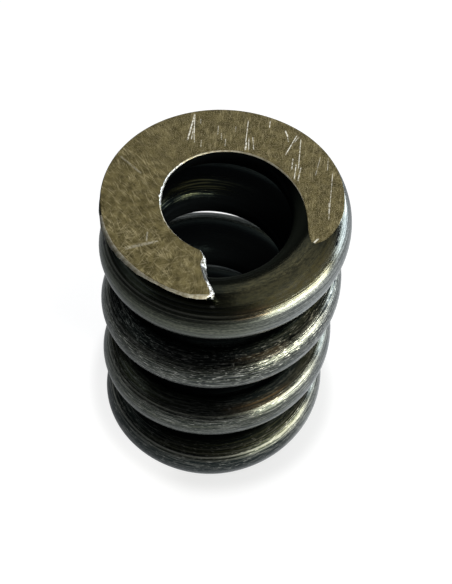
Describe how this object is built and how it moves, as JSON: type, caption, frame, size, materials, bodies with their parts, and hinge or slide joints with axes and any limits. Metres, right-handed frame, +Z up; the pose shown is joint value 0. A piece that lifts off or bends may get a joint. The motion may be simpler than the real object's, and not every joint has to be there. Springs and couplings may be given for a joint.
{
  "type": "compression spring",
  "caption": "Heavy helical compression spring of round steel wire, its ends closed and ground flat so that it stands square between two faces and pushes them apart.",
  "frame": {"origin": "on the coil's axis, in the plane of the lower ground face", "axes": "+Z up the coil's axis, from the lower ground face to the upper one; -Y towards the side where the upper wire end lies"},
  "size_m": [0.0254, 0.0254, 0.0336],
  "materials": {
    "spring_wire": "dark oil-tempered drawn wire with satin, scratched ground end faces"
  },
  "bodies": {
    "root": {"coil_spring": "spring_wire"}
  },
  "joints": []
}
